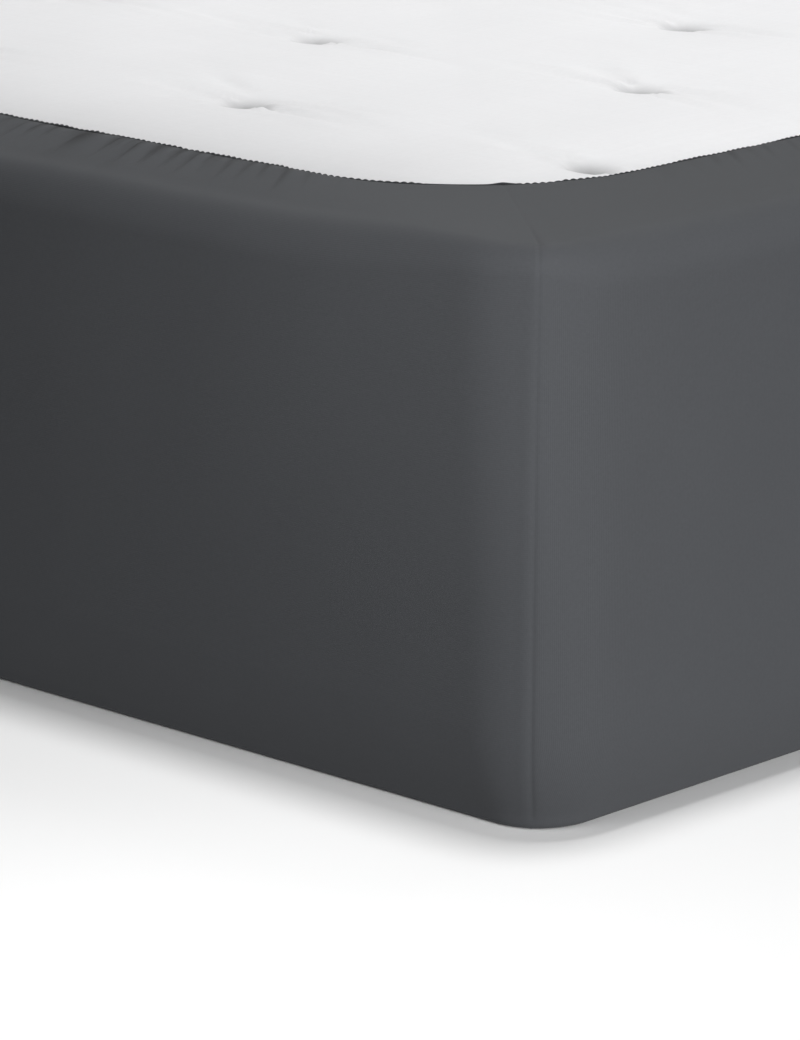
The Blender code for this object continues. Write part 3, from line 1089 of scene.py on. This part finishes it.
def new_group(name, inputs, outputs):
    """A shader node group with named sockets, and its input and output nodes."""
    group = bpy.data.node_groups.new(name, "ShaderNodeTree")
    for socket, kind, default in inputs:
        made = group.interface.new_socket(socket, in_out="INPUT", socket_type=kind)
        if default is not None:
            made.default_value = default
    for socket, kind in outputs:
        group.interface.new_socket(socket, in_out="OUTPUT", socket_type=kind)
    return group, group.nodes.new("NodeGroupInput"), group.nodes.new("NodeGroupOutput")


def math_node(tree, operation, first, second=None, third=None):
    """The output of a Math node, whose inputs are numbers or other nodes' outputs."""
    node = tree.nodes.new("ShaderNodeMath")
    node.operation = operation
    for socket, value in zip(node.inputs, (first, second, third)):
        if isinstance(value, (int, float)):
            socket.default_value = value
        elif value is not None:
            tree.links.new(value, socket)
    return node.outputs[0]


def mix_colour(tree, factor, first, second, blend="MIX"):
    """The output of a Mix Color node, whose inputs are values or other nodes' outputs."""
    node = tree.nodes.new("ShaderNodeMix")
    node.data_type, node.blend_type = "RGBA", blend
    for socket, value in ((node.inputs[0], factor), (node.inputs[6], first), (node.inputs[7], second)):
        if isinstance(value, (int, float, tuple)):
            socket.default_value = value
        else:
            tree.links.new(value, socket)
    return node.outputs[2]


def noise_node(tree, vector, scale, detail=2.0):
    """The value of a Noise Texture on the given coordinates."""
    node = tree.nodes.new("ShaderNodeTexNoise")
    node.inputs["Scale"].default_value = scale
    node.inputs["Detail"].default_value = detail
    tree.links.new(vector, node.inputs["Vector"])
    return node.outputs["Fac"]


def sine_size(tree, value, factor):
    """The size of the sine of a value times a factor."""
    return math_node(tree, "ABSOLUTE", math_node(tree, "SINE", math_node(tree, "MULTIPLY", value, factor)))


def fibre_group():
    """Fibre Mottle: uneven dye and lint, a colour that wanders a little round the given one."""
    group, given, result = new_group(
        "Fibre Mottle",
        [
            ("Vector", "NodeSocketVector", None),
            ("Colour", "NodeSocketColor", (0.5, 0.5, 0.5, 1.0)),
            ("Spread", "NodeSocketFloat", 0.10),
            ("Scale", "NodeSocketFloat", 900.0),
        ],
        [("Colour", "NodeSocketColor"), ("Height", "NodeSocketFloat")],
    )
    fine = group.nodes.new("ShaderNodeTexNoise")
    fine.inputs["Detail"].default_value = 3.0
    group.links.new(given.outputs["Vector"], fine.inputs["Vector"])
    group.links.new(given.outputs["Scale"], fine.inputs["Scale"])
    broad = noise_node(group, given.outputs["Vector"], 14.0, 2.0)
    both = math_node(group, "ADD", fine.outputs["Fac"], math_node(group, "MULTIPLY", broad, 0.5))
    centred = math_node(group, "SUBTRACT", both, 0.75)
    factor = math_node(group, "MULTIPLY_ADD", centred, given.outputs["Spread"], 1.0)
    grey = group.nodes.new("ShaderNodeCombineColor")
    for socket in grey.inputs:
        group.links.new(factor, socket)
    colour = mix_colour(group, 1.0, given.outputs["Colour"], grey.outputs[0], "MULTIPLY")
    group.links.new(colour, result.inputs["Colour"])
    group.links.new(fine.outputs["Fac"], result.inputs["Height"])
    return group


def knit_group():
    """Knit Loops: columns of small V-shaped loops, as a height and a mask of the gaps between them."""
    group, given, result = new_group(
        "Knit Loops",
        [("Vector", "NodeSocketVector", None), ("Wale", "NodeSocketFloat", 0.001)],
        [("Height", "NodeSocketFloat"), ("Gaps", "NodeSocketFloat")],
    )
    split = group.nodes.new("ShaderNodeSeparateXYZ")
    group.links.new(given.outputs["Vector"], split.inputs[0])
    across = math_node(group, "DIVIDE", split.outputs[0], given.outputs["Wale"])
    course = math_node(group, "MULTIPLY", given.outputs["Wale"], 0.8)
    up = math_node(group, "DIVIDE", split.outputs[1], course)
    column = sine_size(group, across, math.pi)
    slant = math_node(group, "MULTIPLY", sine_size(group, across, 2 * math.pi), 0.35)
    loop = sine_size(group, math_node(group, "ADD", up, slant), math.pi)
    height = math_node(group, "MULTIPLY", column, math_node(group, "MULTIPLY_ADD", loop, 0.6, 0.4))
    group.links.new(height, result.inputs["Height"])
    group.links.new(math_node(group, "SUBTRACT", 1.0, height), result.inputs["Gaps"])
    return group


def new_material(name, roughness, sheen, sheen_roughness=0.4, specular=0.3):
    """A material with its Principled shader's even values set, and its node tree."""
    material = bpy.data.materials.new(name)
    material.use_nodes = True
    tree = material.node_tree
    shader = tree.nodes["Principled BSDF"]
    shader.inputs["Roughness"].default_value = roughness
    shader.inputs["Specular IOR Level"].default_value = specular
    shader.inputs["Sheen Weight"].default_value = sheen
    shader.inputs["Sheen Roughness"].default_value = sheen_roughness
    return material, tree, shader


def coordinates(tree, output):
    """One output of a Texture Coordinate node."""
    return tree.nodes.new("ShaderNodeTexCoord").outputs[output]


def place_group(tree, group, values):
    """Places a node group in a material with its own values or links."""
    node = tree.nodes.new("ShaderNodeGroup")
    node.node_tree = group
    for socket, value in values.items():
        if isinstance(value, bpy.types.NodeSocket):
            tree.links.new(value, node.inputs[socket])
        else:
            node.inputs[socket].default_value = value
    return node


def scaled(colour, share):
    """A share of a colour, with full alpha."""
    return tuple(share * c for c in colour) + (1.0,)


def shaded(tree, colour, strength):
    """The colour, darkened by the mesh's shade attribute."""
    attribute = tree.nodes.new("ShaderNodeAttribute")
    attribute.attribute_name = "shade"
    factor = math_node(tree, "MULTIPLY", attribute.outputs["Fac"], strength)
    return mix_colour(tree, factor, colour, (0.0, 0.0, 0.0, 1.0))


def add_bump(tree, shader, height, distance, strength=1.0):
    """Feeds a height to the shader's Normal through a Bump node."""
    bump = tree.nodes.new("ShaderNodeBump")
    bump.inputs["Distance"].default_value = distance
    bump.inputs["Strength"].default_value = strength
    tree.links.new(height, bump.inputs["Height"])
    tree.links.new(bump.outputs[0], shader.inputs["Normal"])


def jersey_material(settings, groups):
    """Knitted jersey: fine wales on the flat cloth's coordinates, mottled dye, a soft sheen."""
    material, tree, shader = new_material("jersey", 0.85, 0.03, 0.5, 0.14)
    uv = coordinates(tree, "UV")
    knit = place_group(tree, groups["knit"], {"Vector": uv, "Wale": settings.wale})
    colour = (*settings.colour, 1.0)
    fibre = place_group(
        tree,
        groups["fibre"],
        {"Vector": coordinates(tree, "Object"), "Colour": colour, "Spread": 0.16, "Scale": 700.0},
    )
    # The gaps between the knit loops are darkened: painted shade in the gaps.
    dark = scaled(settings.colour, 0.72)
    gaps = math_node(tree, "MULTIPLY", knit.outputs["Gaps"], 0.14)
    knitted = mix_colour(tree, gaps, fibre.outputs["Colour"], dark)
    tree.links.new(shaded(tree, knitted, 0.90), shader.inputs["Base Color"])
    height = math_node(tree, "MULTIPLY_ADD", fibre.outputs["Height"], 0.5, knit.outputs["Height"])
    add_bump(tree, shader, height, 0.00006, 0.4)
    return material


def elastic_material(settings, groups):
    """Overlock thread wound over elastic: close ridges across the edge."""
    material, tree, shader = new_material("elastic", 0.90, 0.02, 0.5, 0.12)
    uv = coordinates(tree, "UV")
    fibre = place_group(
        tree,
        groups["fibre"],
        {
            "Vector": coordinates(tree, "Object"),
            "Colour": (*settings.colour, 1.0),
            "Spread": 0.35,
            "Scale": 500.0,
        },
    )
    knit = place_group(tree, groups["knit"], {"Vector": uv, "Wale": 0.0008})
    tree.links.new(fibre.outputs["Colour"], shader.inputs["Base Color"])
    add_bump(tree, shader, knit.outputs["Height"], 0.00025)
    return material


def cover_material(settings, groups):
    """White woven mattress cover: crossing threads, a few thicker than the rest, on Object coordinates."""
    material, tree, shader = new_material("ticking", 0.90, 0.04, 0.5, 0.14)
    place = coordinates(tree, "Object")
    fibre = place_group(
        tree,
        groups["fibre"],
        {"Vector": place, "Colour": (*settings.colour, 1.0), "Spread": 0.05, "Scale": 420.0},
    )
    split = tree.nodes.new("ShaderNodeSeparateXYZ")
    tree.links.new(place, split.inputs[0])
    threads = []
    for axis, stretch in ((0, (1.0, 0.02, 1.0)), (1, (0.02, 1.0, 1.0))):
        ribs = sine_size(tree, split.outputs[axis], math.pi / THREAD_PITCH)
        mapping = tree.nodes.new("ShaderNodeMapping")
        mapping.inputs["Scale"].default_value = stretch
        tree.links.new(place, mapping.inputs["Vector"])
        slubs = noise_node(tree, mapping.outputs[0], 330.0, 2.0)
        threads.append(math_node(tree, "MULTIPLY", ribs, slubs))
    weave = math_node(tree, "ADD", *threads)
    streaks = math_node(tree, "MULTIPLY", weave, 0.15)
    woven = mix_colour(tree, streaks, fibre.outputs["Colour"], (0.55, 0.55, 0.56, 1.0))
    tree.links.new(shaded(tree, woven, 0.55), shader.inputs["Base Color"])
    height = math_node(tree, "MULTIPLY_ADD", fibre.outputs["Height"], 0.4, weave)
    add_bump(tree, shader, height, 0.00012, 0.35)
    return material


def floor_material(settings):
    """Plain pale floor, with a hardly visible wander in its tint."""
    material, tree, shader = new_material("pale_floor", 0.9, 0.0, specular=0.0)
    place = coordinates(tree, "Object")
    tint = noise_node(tree, place, 0.8, 1.0)
    colour = (*settings.floor_colour, 1.0)
    darker = scaled(settings.floor_colour, 0.99)
    tree.links.new(mix_colour(tree, tint, colour, darker), shader.inputs["Base Color"])
    return material


def shared_groups():
    """The node groups, made once."""
    made = bpy.data.node_groups
    return {
        "knit": made.get("Knit Loops") or knit_group(),
        "fibre": made.get("Fibre Mottle") or fibre_group(),
    }


# Operators


class FITTEDSHEET_OT_sheet(bpy.types.Operator):
    """Build the jersey sheet with its gathers and corner seams"""

    bl_idname = "fitted_sheet.sheet"
    bl_label = "Jersey Sheet"

    def execute(self, context):
        settings = context.scene.fitted_sheet
        obj = build_sheet(settings, jersey_material(settings, shared_groups()))
        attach(obj, BODY)
        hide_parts("sheet")
        return {"FINISHED"}


class FITTEDSHEET_OT_elastic(bpy.types.Operator):
    """Build the overlocked elastic edge along the hem"""

    bl_idname = "fitted_sheet.elastic"
    bl_label = "Elastic Edge"

    def execute(self, context):
        scene = context.scene
        material = elastic_material(scene.fitted_elastic, shared_groups())
        obj = build_elastic(scene.fitted_sheet, scene.fitted_elastic, material)
        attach(obj, BODY)
        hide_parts("elastic_edge")
        return {"FINISHED"}


class FITTEDSHEET_OT_mattress(bpy.types.Operator):
    """Build the tufted mattress"""

    bl_idname = "fitted_sheet.mattress"
    bl_label = "Tufted Mattress"

    def execute(self, context):
        sheet, settings = context.scene.fitted_sheet, context.scene.fitted_mattress
        groups = shared_groups()
        obj = build_mattress(sheet, settings, cover_material(settings, groups))
        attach(obj, BODY)
        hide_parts("mattress")
        return {"FINISHED"}


class FITTEDSHEET_OT_declare(bpy.types.Operator):
    """Check that the sheet, its elastic edge and the mattress are there"""

    bl_idname = "fitted_sheet.declare"
    bl_label = "Flat Size"

    def execute(self, context):
        pieces = [bpy.data.objects.get(name) for name in ("jersey_sheet", "elastic_hem", "tufted_mattress")]
        if None in pieces:
            raise RuntimeError("build the sheet, its elastic edge and the mattress first")
        return {"FINISHED"}


class FITTEDSHEET_OT_stage(bpy.types.Operator):
    """Set up the floor, the lights and the camera"""

    bl_idname = "fitted_sheet.stage"
    bl_label = "Stage"

    def execute(self, context):
        settings = context.scene.fitted_stage
        add_floor(settings)
        add_world(settings)
        add_lights(settings)
        add_camera(settings)
        return {"FINISHED"}


def add_floor(settings):
    """A level square sheet of 8 by 8 quads, just under the sleeping face."""
    line = np.linspace(-settings.floor_size / 2, settings.floor_size / 2, 9)
    x, y = np.meshgrid(line, line, indexing="ij")
    points = np.stack([x, y, np.full(x.shape, -FLOOR_DROP)], 2).reshape(-1, 3)
    index = np.arange(81).reshape(9, 9)
    quads = grid_quads(index).reshape(-1, 4)
    floor = new_object("floor", points, quads.tolist(), floor_material(settings))
    floor.visible_diffuse = False  # the floor throws no light back on the walls


def corner_foot():
    """Foot of the corner that the camera faces."""
    return Vector((-HALF_LENGTH, -HALF_WIDTH, 0.0))


def add_light(name, kind, energy, place, target, **values):
    """A light at a place that shines at a target."""
    data = bpy.data.lights.new(name, kind)
    data.energy = energy
    for key, value in values.items():
        setattr(data, key, value)
    light = bpy.data.objects.new(name, data)
    light.location = place
    light.rotation_euler = (target - place).to_track_quat("-Z", "Y").to_euler()
    bpy.context.scene.collection.objects.link(light)
    return light


def add_world(settings):
    """Even light from below only, as a wide pale floor would throw back."""
    world = bpy.data.worlds.new("studio")
    world.use_nodes = True
    tree = world.node_tree
    split = tree.nodes.new("ShaderNodeSeparateXYZ")
    tree.links.new(coordinates(tree, "Generated"), split.inputs[0])
    below = math_node(tree, "LESS_THAN", split.outputs[2], 0.0)
    sky = tree.nodes["Background"]
    sky.inputs["Color"].default_value = (1.0, 1.0, 1.0, 1.0)
    tree.links.new(math_node(tree, "MULTIPLY", below, settings.bounce), sky.inputs["Strength"])
    bpy.context.scene.world = world


def add_lights(settings):
    """Wide soft lights from overhead, the front and the back, and three small ones near the corner.

    A wide light's turn is clockwise from -Y seen from above, and its rise is over the floor, both in
    degrees. The small ones have their place and the point they shine at from the corner's foot, and
    their size. They don't show to the camera.
    """
    corner = corner_foot()
    suns = (
        ("overhead", settings.overhead, -108, 86, settings.overhead_spread),
        ("front", settings.front, 15, 25, settings.side_spread),
        ("low_front", settings.low_front, -30, 5, settings.side_spread),
        ("back", settings.back, -135, 30, settings.side_spread),
    )
    for name, energy, turn, rise, spread in suns:
        turn, rise = math.radians(turn), math.radians(rise)
        level = math.cos(rise)
        source = Vector((-math.sin(turn) * level, -math.cos(turn) * level, math.sin(rise)))
        add_light(name, "SUN", energy, corner + 3 * source, corner, angle=spread)
    near = (
        ("near_front", settings.near_front, (-0.40, -1.20, 0.30), (0.0, 0.05, 0.13), 0.30),
        ("near_end", settings.near_end, (-0.25, 0.0, 0.30), (0.0, 0.05, 0.13), 0.20),
        ("above", settings.above, (0.62, 0.22, 1.05), (0.62, 0.22, 0.25), 0.60),
    )
    for name, energy, place, aim, size in near:
        light = add_light(name, "AREA", energy, corner + Vector(place), corner + Vector(aim), size=size)
        light.visible_camera = False


def add_camera(settings):
    """The camera, which looks along its heading and pitch at a point near the corner's foot."""
    heading, pitch = settings.heading, settings.pitch
    forward = Vector(
        (math.cos(pitch) * math.cos(heading), math.cos(pitch) * math.sin(heading), -math.sin(pitch))
    )
    right = Vector((math.sin(heading), -math.cos(heading), 0.0))
    up = right.cross(forward)
    data = bpy.data.cameras.new("camera")
    data.sensor_width = 36.0
    data.lens = settings.lens
    data.clip_end = 200.0
    camera = bpy.data.objects.new("camera", data)
    turn = Matrix((right, up, -forward)).transposed().to_4x4()
    place = corner_foot() + Vector(settings.aim) - forward * settings.distance
    camera.matrix_world = Matrix.Translation(place) @ turn
    bpy.context.scene.collection.objects.link(camera)
    bpy.context.scene.camera = camera


# Panel and registration


class FITTEDSHEET_PT_panel(bpy.types.Panel):
    """Fitted sheet builder"""

    bl_idname = "FITTEDSHEET_PT_panel"
    bl_label = "Fitted Sheet"
    bl_space_type = "VIEW_3D"
    bl_region_type = "UI"
    bl_category = "Fitted Sheet"

    def draw(self, context):
        for title, group, operator in PANEL_ROWS:
            box = self.layout.box()
            box.label(text=title)
            settings = getattr(context.scene, group)
            for name in settings.bl_rna.properties.keys():
                if name not in ("rna_type", "name"):
                    box.prop(settings, name)
            box.operator(operator)
        self.layout.operator(FITTEDSHEET_OT_declare.bl_idname)


PANEL_ROWS = (
    ("Sheet", "fitted_sheet", FITTEDSHEET_OT_sheet.bl_idname),
    ("Elastic", "fitted_elastic", FITTEDSHEET_OT_elastic.bl_idname),
    ("Mattress", "fitted_mattress", FITTEDSHEET_OT_mattress.bl_idname),
    ("Stage", "fitted_stage", FITTEDSHEET_OT_stage.bl_idname),
)
SETTINGS = (
    ("fitted_sheet", SheetSettings),
    ("fitted_elastic", ElasticSettings),
    ("fitted_mattress", MattressSettings),
    ("fitted_stage", StageSettings),
)
CLASSES = (
    SheetSettings,
    ElasticSettings,
    MattressSettings,
    StageSettings,
    FITTEDSHEET_OT_sheet,
    FITTEDSHEET_OT_elastic,
    FITTEDSHEET_OT_mattress,
    FITTEDSHEET_OT_declare,
    FITTEDSHEET_OT_stage,
    FITTEDSHEET_PT_panel,
)


def register():
    """Adds the classes, and the settings to each scene."""
    for cls in CLASSES:
        bpy.utils.register_class(cls)
    for name, cls in SETTINGS:
        setattr(bpy.types.Scene, name, PointerProperty(type=cls))


def unregister():
    """Takes away what register adds."""
    for name, _ in SETTINGS:
        delattr(bpy.types.Scene, name)
    for cls in reversed(CLASSES):
        bpy.utils.unregister_class(cls)


def main():
    """Builds the pieces in order, then the stage."""
    register()
    bpy.ops.fitted_sheet.mattress()
    bpy.ops.fitted_sheet.sheet()
    bpy.ops.fitted_sheet.elastic()
    bpy.ops.fitted_sheet.declare()
    bpy.ops.fitted_sheet.stage()
    bpy.context.scene.view_settings.view_transform = "Standard"


if __name__ == "__main__":
    main()
